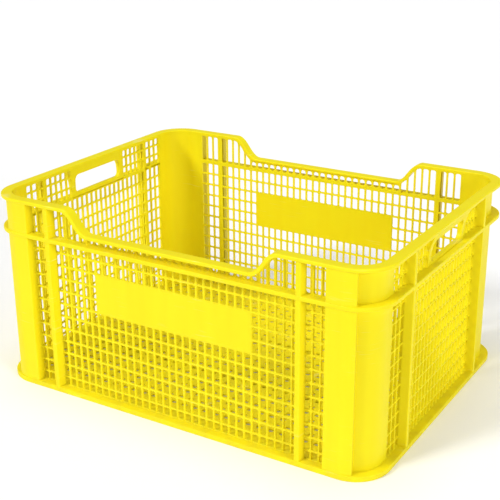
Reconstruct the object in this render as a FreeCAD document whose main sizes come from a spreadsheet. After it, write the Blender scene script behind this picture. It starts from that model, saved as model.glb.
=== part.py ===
import FreeCAD, Part
import math
import os
import Sketcher

# Stacking plastic crate: a perforated, injection-moulded box with rounded corners.
# Frame: X along the long walls, Y along the end walls, Z up, origin at the bottom centre.
# The moulding is divided into its named regions, which meet face to face.
# Everything is drawn once, at the back or at the right, and mirrored to the other side.

document = FreeCAD.newDocument("StackingCrate")
sizes = document.addObject("Spreadsheet::Sheet", "Sizes")

DIMENSIONS = {
    # overall
    "crate_length": 600,
    "crate_width": 450,
    "crate_height": 280,
    "corner_radius": 50,
    # shell
    "skin_thickness": 3.8,
    "rib_depth": 12,
    "rib_width": 7.4,
    "foot_height": 8,
    "rim_thickness": 5,
    "band_drop": 53.5,
    "band_height": 6,
    # lowered middle of the two long rims
    "dip_depth": 32,
    "dip_run": 24,
    "shoulder_length": 38,
    # where the mesh and the ribs of each wall lie, counted from the corner inwards
    "long_corner_flat": 20.4,
    "long_rib_inset": 35.6,
    "end_corner_flat": 15,
    "end_rib_inset": 38.5,
    # wall mesh
    "bar_width": 2.4,
    "row_bar": 2.2,
    "row_count": 12,
    "lowest_row_top": 19.6,
    "band_lap": 1,
    "long_columns": 33,
    "end_columns": 21,
    "side_columns": 3,
    "end_upper_pitch": 16,
    "end_upper_rows": 3,
    # blank label plates
    "plate_columns": 21,
    "plate_rows": 3,
    "rows_below_plate": 7,
    # hollow columns beside the corners, flush with the rim
    "column_wall": 3,
    "column_wrap": 23,
    # hand holes
    "handle_columns": 11,
    "handle_frame_side": 9.3,
    "handle_sill": 3.5,
    "handle_grip": 11,
    "handle_radius": 8,
    "handle_lip": 3,
    "handle_flare": 22,
    "handle_flare_radius": 70,
    # floor
    "floor_thickness": 3,
    "floor_margin": 14,
    "floor_bar": 9,
    "floor_cells_long": 32,
    "floor_cells_wide": 24,
    "floor_rib_width": 4,
    "floor_rib_clearance": 1,
    "cells_between_cross_ribs": 8,
    "cells_between_long_ribs": 8,
}
for row, (alias, value) in enumerate(DIMENSIONS.items(), start=1):
    sizes.set(f"A{row}", alias)
    sizes.set(f"B{row}", str(value))
    sizes.setAlias(f"B{row}", alias)
document.recompute()


def formula(text):
    """An expression in which {alias} stands for a value of the sheet, in brackets."""
    return "(" + text.format(**{alias: f"Sizes.{alias}" for alias in DIMENSIONS}) + ")"


# Places that several pieces share.
OUTER_X = formula("{crate_length} / 2")
OUTER_Y = formula("{crate_width} / 2")
SKIN_OUT_X = formula("{crate_length} / 2 - {rib_depth}")
SKIN_OUT_Y = formula("{crate_width} / 2 - {rib_depth}")
SKIN_IN_X = formula("{crate_length} / 2 - {rib_depth} - {skin_thickness}")
SKIN_IN_Y = formula("{crate_width} / 2 - {rib_depth} - {skin_thickness}")
ARC_X = formula("{crate_length} / 2 - {corner_radius}")
ARC_Y = formula("{crate_width} / 2 - {corner_radius}")
OUTER_RADIUS = formula("{corner_radius}")
SKIN_OUT_RADIUS = formula("{corner_radius} - {rib_depth}")
SKIN_IN_RADIUS = formula("{corner_radius} - {rib_depth} - {skin_thickness}")

FOOT_TOP = formula("{foot_height}")
TOP = formula("{crate_height}")
RIM_LOW = formula("{crate_height} - {rim_thickness}")
DIP_TOP = formula("{crate_height} - {dip_depth}")
DIP_LOW = formula("{crate_height} - {dip_depth} - {rim_thickness}")
BAND_LOW = formula("{crate_height} - {band_drop}")
BAND_TOP = formula("{crate_height} - {band_drop} + {band_height}")
BAND_MIDDLE = formula("{crate_height} - {band_drop} + {band_height} / 2")

LONG_MESH_END = f"({ARC_X} - {formula('{long_corner_flat}')})"
LONG_JOINT = f"({LONG_MESH_END} + {formula('{bar_width}')})"
LONG_RIB = f"({LONG_MESH_END} - {formula('{long_rib_inset}')})"
LONG_RIB_NEAR = f"({LONG_RIB} - {formula('{rib_width} / 2')})"
LONG_RIB_FAR = f"({LONG_RIB} + {formula('{rib_width} / 2')})"
END_MESH_END = f"({ARC_Y} - {formula('{end_corner_flat}')})"
END_JOINT = f"({END_MESH_END} + {formula('{bar_width}')})"
END_RIB = f"({END_MESH_END} - {formula('{end_rib_inset}')})"
END_RIB_NEAR = f"({END_RIB} - {formula('{rib_width} / 2')})"
END_RIB_FAR = f"({END_RIB} + {formula('{rib_width} / 2')})"

# The rim climbs from DIP_HALF to DIP_END. Its underside turns a little later than its top,
# so that the climbing part is as thick as the rest.
DIP_END = f"({LONG_RIB} - {formula('{shoulder_length}')})"
DIP_HALF = f"({DIP_END} - {formula('{dip_run}')})"
TURN_SHIFT = formula("{rim_thickness} * tan(atan({dip_depth} / {dip_run}) / 2)")
DIP_HALF_LOW = f"({DIP_HALF} + {TURN_SHIFT})"
DIP_END_LOW = f"({DIP_END} + {TURN_SHIFT})"

# Mesh pitches: the holes of a panel and the bars between them fill it exactly.
LONG_PITCH = f"((2 * {LONG_RIB_NEAR} + {formula('{bar_width}')}) / {formula('{long_columns}')})"
LONG_SIDE_PITCH = f"(({LONG_JOINT} - {LONG_RIB_FAR}) / {formula('{side_columns}')})"
END_PITCH = f"((2 * {END_RIB_NEAR} + {formula('{bar_width}')}) / {formula('{end_columns}')})"
END_SIDE_PITCH = f"(({END_JOINT} - {END_RIB_FAR}) / {formula('{side_columns}')})"
# The top row of holes runs a little way up behind the band.
ROW_PITCH = f"(({BAND_LOW} + {formula('{band_lap} - {lowest_row_top}')}) / {formula('{row_count} - 1')})"
ROW_HOLE = f"({ROW_PITCH} - {formula('{row_bar}')})"
LOWEST_ROW = f"({formula('{lowest_row_top}')} - {ROW_HOLE})"

# Panel joints lie in the middle of a bar.
DIP_STEPS = f"(floor({DIP_HALF_LOW} / {LONG_PITCH} - 0.5))"
DIP_JOINT = f"(({DIP_STEPS} + 0.5) * {LONG_PITCH})"
HALF_BAR = formula("{bar_width} / 2")
HANDLE_JOINT = f"({formula('{handle_columns} / 2')} * {END_PITCH})"

nodes = []


def publish(piece, name):
    """Give a finished sub-part its own name and put it on the list of pieces."""
    piece.Label = name
    nodes.append(piece)
    return piece


def mirror(source, name, normal):
    """A copy of a piece, mirrored in the crate's own middle plane with this normal."""
    copy = document.addObject("Part::Mirroring", name)
    copy.Source = source
    copy.Normal = FreeCAD.Vector(normal)
    return copy


def both_ends(source, name):
    """Publish a piece of the right side, and mirror it to the left."""
    publish(source, name)
    other = name.replace("right", "left")
    return publish(mirror(source, other, (1, 0, 0)), other)


def both_sides(source, name):
    """Publish a piece of the back, and mirror it to the front."""
    publish(source, name)
    other = name.replace("back", "front")
    return publish(mirror(source, other, (0, 1, 0)), other)


def four_corners(source, name):
    """Publish a piece of the back right quarter, and mirror it to the other three."""
    left = both_ends(source, name)
    for piece in (source, left):
        other = piece.Label.replace("back", "front")
        publish(mirror(piece, other, (0, 1, 0)), other)


def both_ways(half):
    """The span that reaches as far to the minus side as to the plus side."""
    return f"-{half}", half


def block(name, x, y, z):
    """A box between pairs of expressions (low, high) along each axis."""
    box = document.addObject("Part::Box", name)
    for size, axis, (low, high) in (("Length", "x", x), ("Width", "y", y), ("Height", "z", z)):
        box.setExpression(size, f"{high} - ({low})")
        box.setExpression(f"Placement.Base.{axis}", low)
    return box


def wedge(name, radius, turn, z):
    """A cylinder sector about the centre of the back right corner, between two angles."""
    solid = document.addObject("Part::Cylinder", name)
    solid.setExpression("Radius", radius)
    solid.setExpression("Angle", f"{turn[1]} - ({turn[0]})")
    solid.setExpression("Height", f"{z[1]} - ({z[0]})")
    solid.setExpression("Placement.Base.x", ARC_X)
    solid.setExpression("Placement.Base.y", ARC_Y)
    solid.setExpression("Placement.Base.z", z[0])
    solid.setExpression("Placement.Rotation.Angle", turn[0])
    return solid


def bend(name, outer, inner, turn, z):
    """A curved wall round the corner's centre, between two radii."""
    cut = document.addObject("Part::Cut", name)
    cut.Base = wedge(f"{name}_outside", outer, turn, z)
    cut.Tool = wedge(f"{name}_inside", inner, turn, z)
    return cut


def join(name, *pieces):
    """One solid from pieces that touch, without seams between them."""
    fuse = document.addObject("Part::MultiFuse", name)
    fuse.Shapes = list(pieces)
    fuse.Refine = True
    return fuse


def origin_part(body, role):
    """A plane or an axis of a body's own origin."""
    return next(item for item in body.Origin.OriginFeatures if item.Role == role)


def polygon(body, name, plane, corners):
    """A closed sketch whose corners are bound to pairs of expressions."""
    sketch = body.newObject("Sketcher::SketchObject", name)
    sketch.AttachmentSupport = (origin_part(body, plane), [""])
    sketch.MapMode = "FlatFace"
    count = len(corners)
    turns = [2 * math.pi * index / count for index in range(count)]
    start = [FreeCAD.Vector(math.cos(turn), math.sin(turn), 0) * 100 for turn in turns]
    for index in range(count):
        sketch.addGeometry(Part.LineSegment(start[index], start[(index + 1) % count]))
    for index in range(count):
        sketch.addConstraint(Sketcher.Constraint("Coincident", index, 2, (index + 1) % count, 1))
    for index, corner in enumerate(corners):
        guesses = (start[index].x, start[index].y)
        for axis, guess, place in zip("XY", guesses, corner):
            bound = Sketcher.Constraint(f"Distance{axis}", -1, 1, index, 1, guess)
            number = sketch.addConstraint(bound)
            sketch.renameConstraint(number, f"corner_{index}_{axis}")
            sketch.setExpression(f"Constraints.corner_{index}_{axis}", place)
    return sketch


def oblong(x, z):
    """The four corners of an upright rectangle between two spans."""
    return [(x[0], z[0]), (x[1], z[0]), (x[1], z[1]), (x[0], z[1])]


def new_body(name, **place):
    """A body whose place is bound to the given expressions."""
    body = document.addObject("PartDesign::Body", name)
    for axis, expression in place.items():
        body.setExpression(f"Placement.Base.{axis}", expression)
    return body


def pad(body, name, plane, corners, depth):
    """Pad an outline, away from the inside of the crate."""
    feature = body.newObject("PartDesign::Pad", name)
    feature.Profile = polygon(body, f"{name}_outline", plane, corners)
    feature.setExpression("Length", depth)
    feature.Reversed = plane == "XZ_Plane"
    document.recompute()


def cut_through(body, name, plane, corners):
    """Cut an outline right through, and make sure that it cuts something."""
    before = body.Tip.Shape.Volume
    feature = body.newObject("PartDesign::Pocket", name)
    feature.Profile = polygon(body, f"{name}_outline", plane, corners)
    feature.Type = "ThroughAll"
    feature.Midplane = True
    document.recompute()
    if not feature.Shape.Volume < before:
        raise ValueError(f"{body.Label}: {name} cuts nothing")
    return feature


def repeat(body, name, hole, *directions):
    """Repeat a hole in one or two directions, each an axis, a pitch and a count."""
    pattern = body.newObject("PartDesign::LinearPattern", name)
    pattern.Originals = [hole]
    for suffix, (axis, pitch, count) in zip(("", "2"), directions):
        setattr(pattern, f"Direction{suffix}", (origin_part(body, axis), [""]))
        pattern.setExpression(f"Length{suffix}", f"{pitch} * ({count} - 1)")
        pattern.setExpression(f"Occurrences{suffix}", count)
    body.Tip = pattern
    document.recompute()


def round_edges(body, name, direction, radius, wanted):
    """Round those straight edges along a direction whose middle is wanted."""
    base = body.Tip
    picked = []
    for number, edge in enumerate(base.Shape.Edges, start=1):
        run = edge.lastVertex().Point - edge.firstVertex().Point
        if run.cross(direction).Length < 1e-6 and wanted(edge.CenterOfMass):
            picked.append(f"Edge{number}")
    feature = body.newObject("PartDesign::Fillet", name)
    feature.Base = (base, picked)
    feature.setExpression("Radius", radius)
    body.Tip = feature
    document.recompute()


# Wall skin -------------------------------------------------------------------------------
# Each panel is a flat plate of the skin's thickness, on the crate's inner wall.

SKIN = formula("{skin_thickness}")
BAR = formula("{bar_width}")
SIDE_COUNT = formula("{side_columns}")


class Wall:
    """How a panel lies: the plane of its sketches, its axis along the wall and its place."""

    def __init__(self, plane, along, **place):
        self.plane = plane
        self.along = along
        self.place = place

    def panel(self, name, corners):
        """A plain piece of wall skin."""
        body = new_body(name, **self.place)
        pad(body, "skin", self.plane, corners, SKIN)
        return body

    def window(self, body, name, corners):
        return cut_through(body, name, self.plane, corners)

    def columns(self, body, name, first, pitch, count, height, *rows):
        """Columns of holes, each a bar narrower than the pitch, in rows where given."""
        across = (first, f"{first} + {pitch} - {BAR}")
        hole = self.window(body, f"{name}_first", oblong(across, height))
        repeat(body, name, hole, (self.along, pitch, count), *rows)


long_wall = Wall("XZ_Plane", "X_Axis", y=SKIN_IN_Y)
end_wall = Wall("YZ_Plane", "Y_Axis", x=SKIN_IN_X)

LOWER_HOLE = (LOWEST_ROW, formula("{lowest_row_top}"))
LOWER_ROWS = ("Z_Axis", ROW_PITCH, formula("{row_count}"))
END_UPPER_PITCH = formula("{end_upper_pitch}")
END_UPPER_HOLE = (BAND_TOP, f"{BAND_TOP} + {formula('{end_upper_pitch} - {row_bar}')}")
END_UPPER_ROWS = ("Z_Axis", END_UPPER_PITCH, formula("{end_upper_rows}"))
SLOT = (BAND_TOP, TOP)

# Below the band, between the ribs. The long walls leave a window for the label plate.
lower_long = long_wall.panel("back_lower_panel", oblong(both_ways(LONG_RIB), (FOOT_TOP, BAND_MIDDLE)))
long_wall.columns(lower_long, "holes", f"-{LONG_RIB_NEAR}", LONG_PITCH,
                  formula("{long_columns}"), LOWER_HOLE, LOWER_ROWS)

plate_half = f"({formula('{plate_columns} / 2')} * {LONG_PITCH})"
plate_low = f"({LOWEST_ROW} - {formula('{row_bar} / 2')} + {formula('{rows_below_plate}')} * {ROW_PITCH})"
plate_high = f"({plate_low} + {formula('{plate_rows}')} * {ROW_PITCH})"
plate_corners = oblong(both_ways(plate_half), (plate_low, plate_high))
long_wall.window(lower_long, "plate_window", plate_corners)
both_sides(lower_long, "back_lower_panel")
both_sides(long_wall.panel("back_label_plate", plate_corners), "back_label_plate")

lower_end = end_wall.panel("right_lower_panel", [
    (f"-{END_RIB}", FOOT_TOP),
    (END_RIB, FOOT_TOP),
    (END_RIB, BAND_MIDDLE),
    (HANDLE_JOINT, BAND_MIDDLE),
    (HANDLE_JOINT, BAND_TOP),
    (f"-{HANDLE_JOINT}", BAND_TOP),
    (f"-{HANDLE_JOINT}", BAND_MIDDLE),
    (f"-{END_RIB}", BAND_MIDDLE),
])
end_wall.columns(lower_end, "holes", f"-{END_RIB_NEAR}", END_PITCH,
                 formula("{end_columns}"), LOWER_HOLE, LOWER_ROWS)
both_ends(lower_end, "right_lower_panel")

# Above the band the long walls have upright slots, which the rim closes at the top.
dip = long_wall.panel("back_dip_panel", oblong(both_ways(DIP_JOINT), (BAND_MIDDLE, DIP_LOW)))
long_wall.columns(dip, "slots", f"-{DIP_JOINT} + {HALF_BAR}", LONG_PITCH,
                  f"(2 * {DIP_STEPS} + 1)", SLOT)
both_sides(dip, "back_dip_panel")

shoulder = long_wall.panel("back_right_shoulder_panel", [
    (DIP_JOINT, BAND_MIDDLE),
    (LONG_RIB, BAND_MIDDLE),
    (LONG_RIB, RIM_LOW),
    (DIP_END_LOW, RIM_LOW),
    (DIP_HALF_LOW, DIP_LOW),
    (DIP_JOINT, DIP_LOW),
])
long_wall.columns(shoulder, "slots", f"{DIP_JOINT} + {HALF_BAR}", LONG_PITCH,
                  f"({formula('({long_columns} - 1) / 2')} - {DIP_STEPS})", SLOT)
four_corners(shoulder, "back_right_shoulder_panel")

# Between rib and corner one panel reaches from the foot to the rim.
long_side = long_wall.panel("back_right_side_panel", oblong((LONG_RIB, LONG_JOINT), (FOOT_TOP, RIM_LOW)))
long_wall.columns(long_side, "holes", LONG_RIB_FAR, LONG_SIDE_PITCH, SIDE_COUNT, LOWER_HOLE, LOWER_ROWS)
long_wall.columns(long_side, "slots", LONG_RIB_FAR, LONG_SIDE_PITCH, SIDE_COUNT, SLOT)
four_corners(long_side, "back_right_side_panel")

end_side = end_wall.panel("right_back_side_panel", oblong((END_RIB, END_JOINT), (FOOT_TOP, RIM_LOW)))
end_wall.columns(end_side, "holes", END_RIB_FAR, END_SIDE_PITCH, SIDE_COUNT, LOWER_HOLE, LOWER_ROWS)
end_wall.columns(end_side, "upper_holes", END_RIB_FAR, END_SIDE_PITCH, SIDE_COUNT,
                 END_UPPER_HOLE, END_UPPER_ROWS)
four_corners(end_side, "right_back_side_panel")

# Above the band the end walls have mesh on both sides of the hand hole.
beside = end_wall.panel("right_back_upper_panel", oblong((HANDLE_JOINT, END_RIB), (BAND_MIDDLE, RIM_LOW)))
end_wall.columns(beside, "holes", f"{HANDLE_JOINT} + {HALF_BAR}", END_PITCH,
                 formula("({end_columns} - {handle_columns}) / 2"), END_UPPER_HOLE, END_UPPER_ROWS)
four_corners(beside, "right_back_upper_panel")

# Hand-hole frame: a lip round the opening that stands a little out from the skin, and flares
# out in a cove under the grip until it is flush with the rim.
handle_low = f"({BAND_TOP} + {formula('{handle_sill}')})"
handle_high = f"({RIM_LOW} - {formula('{handle_grip}')})"
handle_half = f"({HANDLE_JOINT} - {formula('{handle_frame_side}')})"
lip = formula("({skin_thickness} + {handle_lip})")
rim_edge = formula("({skin_thickness} + {rib_depth})")
outside = f"({rim_edge} + {formula('{handle_lip}')})"
block_body = new_body("hand_hole_block", **end_wall.place)
pad(block_body, "frame", "YZ_Plane", oblong(both_ways(HANDLE_JOINT), (BAND_TOP, RIM_LOW)), rim_edge)
block_body.Tip = cut_through(block_body, "flare", "XZ_Plane", [
    (lip, BAND_TOP),
    (lip, f"{RIM_LOW} - {formula('{handle_flare}')}"),
    (rim_edge, RIM_LOW),
    (outside, RIM_LOW),
    (outside, BAND_TOP),
])
ends = block_body.Tip.Shape.BoundBox
round_edges(block_body, "cove", FreeCAD.Vector(0, 1, 0), formula("{handle_flare_radius}"),
            lambda middle: ends.ZMin + 1 < middle.z < ends.ZMax - 1)
opening = new_body("hand_hole", **end_wall.place)
pad(opening, "opening", "YZ_Plane", oblong(both_ways(handle_half), (handle_low, handle_high)), rim_edge)
round_edges(opening, "opening_rounding", FreeCAD.Vector(1, 0, 0), formula("{handle_radius}"),
            lambda middle: True)
frame = document.addObject("Part::Cut", "right_hand_hole_frame")
frame.Base = block_body
frame.Tool = opening
both_ends(frame, "right_hand_hole_frame")

# Corners -----------------------------------------------------------------------------------

WHOLE_TURN = ("0", "90")
BODY_HEIGHT = (FOOT_TOP, RIM_LOW)
corner = join(
    "back_right_corner",
    bend("corner_bend", SKIN_OUT_RADIUS, SKIN_IN_RADIUS, WHOLE_TURN, BODY_HEIGHT),
    block("corner_long_flat", (LONG_JOINT, ARC_X), (SKIN_IN_Y, SKIN_OUT_Y), BODY_HEIGHT),
    block("corner_end_flat", (SKIN_IN_X, SKIN_OUT_X), (END_JOINT, ARC_Y), BODY_HEIGHT),
)
four_corners(corner, "back_right_corner")

# Hollow column on the long wall beside each corner, flush with the rim. A stub of the band
# ties it to the rib.
column_start = formula("90 - {column_wrap}")
web_turn = formula("90 - {column_wrap} + {column_wall} / {corner_radius} * 180 / pi")
COLUMN_IN_Y = f"({OUTER_Y} - {formula('{column_wall}')})"
COLUMN_IN_RADIUS = formula("{corner_radius} - {column_wall}")
column = join(
    "back_right_column",
    block("column_face", (LONG_MESH_END, ARC_X), (COLUMN_IN_Y, OUTER_Y), BODY_HEIGHT),
    block("column_web", (LONG_MESH_END, f"{LONG_MESH_END} + {formula('{column_wall}')}"),
          (SKIN_OUT_Y, COLUMN_IN_Y), BODY_HEIGHT),
    bend("column_bend", OUTER_RADIUS, COLUMN_IN_RADIUS, (column_start, "90"), BODY_HEIGHT),
    bend("column_end", COLUMN_IN_RADIUS, SKIN_OUT_RADIUS, (column_start, web_turn), BODY_HEIGHT),
    block("column_band", (LONG_RIB_FAR, LONG_MESH_END), (SKIN_OUT_Y, OUTER_Y), (BAND_LOW, BAND_TOP)),
)
four_corners(column, "back_right_column")

# Ribs and band ------------------------------------------------------------------------------

OUTSIDE_Y = (SKIN_OUT_Y, OUTER_Y)
OUTSIDE_X = (SKIN_OUT_X, OUTER_X)
BAND = (BAND_LOW, BAND_TOP)
four_corners(block("long_rib", (LONG_RIB_NEAR, LONG_RIB_FAR), OUTSIDE_Y, BODY_HEIGHT),
             "back_right_rib")
four_corners(block("end_rib", OUTSIDE_X, (END_RIB_NEAR, END_RIB_FAR), BODY_HEIGHT),
             "right_back_rib")
both_sides(block("long_band", both_ways(LONG_RIB_NEAR), OUTSIDE_Y, BAND), "back_band")
both_ends(block("end_band", OUTSIDE_X, both_ways(END_RIB_NEAR), BAND), "right_band")
corner_band = join(
    "back_right_corner_band",
    bend("band_bend", OUTER_RADIUS, SKIN_OUT_RADIUS, ("0", column_start), BAND),
    block("band_flat", OUTSIDE_X, (END_RIB_FAR, ARC_Y), BAND),
)
four_corners(corner_band, "back_right_corner_band")

# Rim ----------------------------------------------------------------------------------------
# A flange from the inner face of the skin out to the crate's outline. The long pieces dip in
# the middle; each end piece is straight and goes round both corners, as far as the ribs.

RIM_DEPTH = formula("{skin_thickness} + {rib_depth}")
RIM_HEIGHT = (RIM_LOW, TOP)
climb = [(LONG_RIB, RIM_LOW), (LONG_RIB, TOP), (DIP_END, TOP), (DIP_HALF, DIP_TOP)]
fall = [(f"-{x}", z) for x, z in reversed(climb)]
under = [(f"-{DIP_END_LOW}", RIM_LOW), (f"-{DIP_HALF_LOW}", DIP_LOW),
         (DIP_HALF_LOW, DIP_LOW), (DIP_END_LOW, RIM_LOW)]
rim = new_body("back_rim", **long_wall.place)
pad(rim, "flange", "XZ_Plane", climb + fall + under, RIM_DEPTH)
both_sides(rim, "back_rim")


def end_ring(name, straight, reach, height):
    """A straight end piece, its two corner bends and a straight run along each long wall."""
    turn = bend(f"{name}_bend", OUTER_RADIUS, SKIN_IN_RADIUS, WHOLE_TURN, height)
    run = block(f"{name}_run", (reach, ARC_X), (SKIN_IN_Y, OUTER_Y), height)
    other_turn = mirror(turn, f"{name}_other_bend", (0, 1, 0))
    other_run = mirror(run, f"{name}_other_run", (0, 1, 0))
    return join(name, straight, turn, run, other_turn, other_run)


end_rim = block("end_rim", (SKIN_IN_X, OUTER_X), both_ways(ARC_Y), RIM_HEIGHT)
both_ends(end_ring("right_rim_ring", end_rim, LONG_RIB, RIM_HEIGHT), "right_rim")

# Foot and floor -----------------------------------------------------------------------------

FOOT = ("0", FOOT_TOP)
end_foot = block("end_foot", (SKIN_IN_X, OUTER_X), both_ways(ARC_Y), FOOT)
both_ends(end_ring("right_foot_ring", end_foot, LONG_RIB, FOOT), "right_foot")
both_sides(block("long_foot", both_ways(LONG_RIB), (SKIN_IN_Y, OUTER_Y), FOOT), "back_foot")

FLOOR_LOW = formula("{foot_height} - {floor_thickness}")
FIELD_X = f"({SKIN_IN_X} - {formula('{floor_margin}')})"
FIELD_Y = f"({SKIN_IN_Y} - {formula('{floor_margin}')})"
CELL_X = f"((2 * {FIELD_X} + {formula('{floor_bar}')}) / {formula('{floor_cells_long}')})"
CELL_Y = f"((2 * {FIELD_Y} + {formula('{floor_bar}')}) / {formula('{floor_cells_wide}')})"
floor = new_body("floor", z=FLOOR_LOW)
pad(floor, "plate", "XY_Plane", oblong(both_ways(SKIN_IN_X), both_ways(SKIN_IN_Y)),
    formula("{floor_thickness}"))
round_edges(floor, "corners", FreeCAD.Vector(0, 0, 1), SKIN_IN_RADIUS, lambda middle: True)
first_cell = oblong((f"-{FIELD_X}", f"-{FIELD_X} + {CELL_X} - {formula('{floor_bar}')}"),
                    (f"-{FIELD_Y}", f"-{FIELD_Y} + {CELL_Y} - {formula('{floor_bar}')}"))
cell = cut_through(floor, "cell", "XY_Plane", first_cell)
repeat(floor, "cells", cell, ("X_Axis", CELL_X, formula("{floor_cells_long}")),
       ("Y_Axis", CELL_Y, formula("{floor_cells_wide}")))
publish(floor, "floor")

# Stiffening ribs stand under bars of the floor, from wall to wall: three cross ribs, the
# middle one on the centre line, and two long ribs, one on each side of it.
RIB_HEIGHT = (formula("{floor_rib_clearance}"), FLOOR_LOW)
HALF_FLOOR_RIB = formula("{floor_rib_width} / 2")
CROSS_STEP = f"({formula('{cells_between_cross_ribs}')} * {CELL_X})"
LONG_STEP = f"({formula('{cells_between_long_ribs}')} * {CELL_Y})"
floor_ribs = []
for name, side in (("left", -1), ("middle", 0), ("right", 1)):
    line = (f"{side} * {CROSS_STEP} - {HALF_FLOOR_RIB}", f"{side} * {CROSS_STEP} + {HALF_FLOOR_RIB}")
    floor_ribs.append(block(f"{name}_cross_rib", line, both_ways(SKIN_IN_Y), RIB_HEIGHT))
for name, side in (("front", -0.5), ("back", 0.5)):
    line = (f"{side} * {LONG_STEP} - {HALF_FLOOR_RIB}", f"{side} * {LONG_STEP} + {HALF_FLOOR_RIB}")
    floor_ribs.append(block(f"{name}_long_rib", both_ways(SKIN_IN_X), line, RIB_HEIGHT))
publish(join("floor_rib_grid", *floor_ribs), "floor_ribs")

# Checks and files ---------------------------------------------------------------------------

document.recompute()
for item in document.Objects:
    if "Invalid" in item.State or "Error" in item.State:
        raise ValueError(f"{item.Label}: {item.State}")
for piece in nodes:
    if piece.Shape.isNull() or not piece.Shape.isValid():
        raise ValueError(f"{piece.Label}: no valid shape")
    if len(piece.Shape.Solids) != 1:
        raise ValueError(f"{piece.Label}: {len(piece.Shape.Solids)} solids instead of 1")

os.makedirs("parts", exist_ok=True)
for piece in nodes:
    piece.Shape.exportStep(f"parts/{piece.Label}.step")
print(len(nodes), "pieces,", round(sum(piece.Shape.Volume for piece in nodes) / 1000), "cm3")
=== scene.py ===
import bpy
import math
import numpy as np
from mathutils import Matrix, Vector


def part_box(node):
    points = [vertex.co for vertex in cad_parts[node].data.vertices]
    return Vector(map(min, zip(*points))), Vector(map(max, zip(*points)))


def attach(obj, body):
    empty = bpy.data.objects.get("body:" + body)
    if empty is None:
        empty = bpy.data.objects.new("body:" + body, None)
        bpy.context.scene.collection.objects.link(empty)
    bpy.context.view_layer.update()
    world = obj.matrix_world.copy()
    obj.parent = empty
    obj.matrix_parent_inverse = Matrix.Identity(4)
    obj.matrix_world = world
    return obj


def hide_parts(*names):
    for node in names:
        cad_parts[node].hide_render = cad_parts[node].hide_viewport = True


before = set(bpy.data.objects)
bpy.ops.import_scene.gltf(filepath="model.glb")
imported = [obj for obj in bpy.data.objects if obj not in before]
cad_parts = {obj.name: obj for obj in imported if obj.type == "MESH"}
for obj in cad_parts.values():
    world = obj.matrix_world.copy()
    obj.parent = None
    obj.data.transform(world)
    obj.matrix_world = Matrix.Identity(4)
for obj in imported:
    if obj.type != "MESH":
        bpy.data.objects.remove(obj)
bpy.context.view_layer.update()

# ---------------------------------------------------------------- studio
# A pale flat floor in an even white room, lit softly from the front left, from overhead and
# low from the right, and a camera a little above the crate's front right corner.
CAMERA_PLACE = (0.7383, -1.2254, 0.7192)
CAMERA_YAW = math.radians(31.34)
CAMERA_PITCH = math.radians(20.64)
CAMERA_ROLL = math.radians(-0.35)
CAMERA_LENS = 75.8
ROOM_STRENGTH = 0.22
STUDIO_HALF = 40.0
WHITE = (1, 1, 1, 1)


def standing(right, up, back, place):
    """The matrix of an object whose own axes are these three directions, at a place."""
    return Matrix([(right[k], up[k], back[k], place[k]) for k in range(3)] + [(0, 0, 0, 1)])


forward = np.array([-math.sin(CAMERA_YAW) * math.cos(CAMERA_PITCH),
                    math.cos(CAMERA_YAW) * math.cos(CAMERA_PITCH),
                    -math.sin(CAMERA_PITCH)])
sideways = np.array([math.cos(CAMERA_YAW), math.sin(CAMERA_YAW), 0.0])
upright = np.cross(sideways, forward)
camera_right = sideways * math.cos(CAMERA_ROLL) + upright * math.sin(CAMERA_ROLL)
camera_up = upright * math.cos(CAMERA_ROLL) - sideways * math.sin(CAMERA_ROLL)
camera_data = bpy.data.cameras.new("studio_camera")
camera_data.sensor_width = 36
camera_data.lens = CAMERA_LENS
camera_data.clip_start = 0.01
camera = bpy.data.objects.new("studio_camera", camera_data)
camera.matrix_world = standing(camera_right, camera_up, -forward, CAMERA_PLACE)
bpy.context.scene.collection.objects.link(camera)
bpy.context.scene.camera = camera
bpy.context.scene.view_settings.view_transform = "Standard"

room = bpy.data.worlds.new("white_room")
room.use_nodes = True
room_nodes, room_links = room.node_tree.nodes, room.node_tree.links
glow = room_nodes["Background"]
glow.inputs["Color"].default_value = WHITE
glow.inputs["Strength"].default_value = ROOM_STRENGTH
# the lens sees the room white, whatever light it gives
seen = room_nodes.new("ShaderNodeBackground")
seen.inputs["Color"].default_value = WHITE
ray = room_nodes.new("ShaderNodeLightPath")
choose = room_nodes.new("ShaderNodeMixShader")
room_links.new(ray.outputs["Is Camera Ray"], choose.inputs[0])
room_links.new(glow.outputs[0], choose.inputs[1])
room_links.new(seen.outputs[0], choose.inputs[2])
room_links.new(choose.outputs[0], room_nodes["World Output"].inputs["Surface"])
bpy.context.scene.world = room


def broad_sun(name, toward, strength, spread):
    """Even light over the whole floor from one direction, as soft as its spread in degrees."""
    data = bpy.data.lights.new(name, "SUN")
    data.energy = strength
    data.angle = math.radians(spread)
    lamp = bpy.data.objects.new(name, data)
    back = np.array(toward, float) / np.linalg.norm(toward)
    side = np.cross((0, 1, 0), back)
    side /= np.linalg.norm(side)
    lamp.matrix_world = standing(side, np.cross(back, side), back, (0, 0, 0))
    bpy.context.scene.collection.objects.link(lamp)


broad_sun("front_panel", toward=(-0.5, -0.85, 0.78), strength=1.72, spread=14)
broad_sun("overhead_panel", toward=(0.0, 0.05, 1.0), strength=0.95, spread=34)
broad_sun("end_panel", toward=(0.95, -0.3, 0.34), strength=1.35, spread=20)

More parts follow.
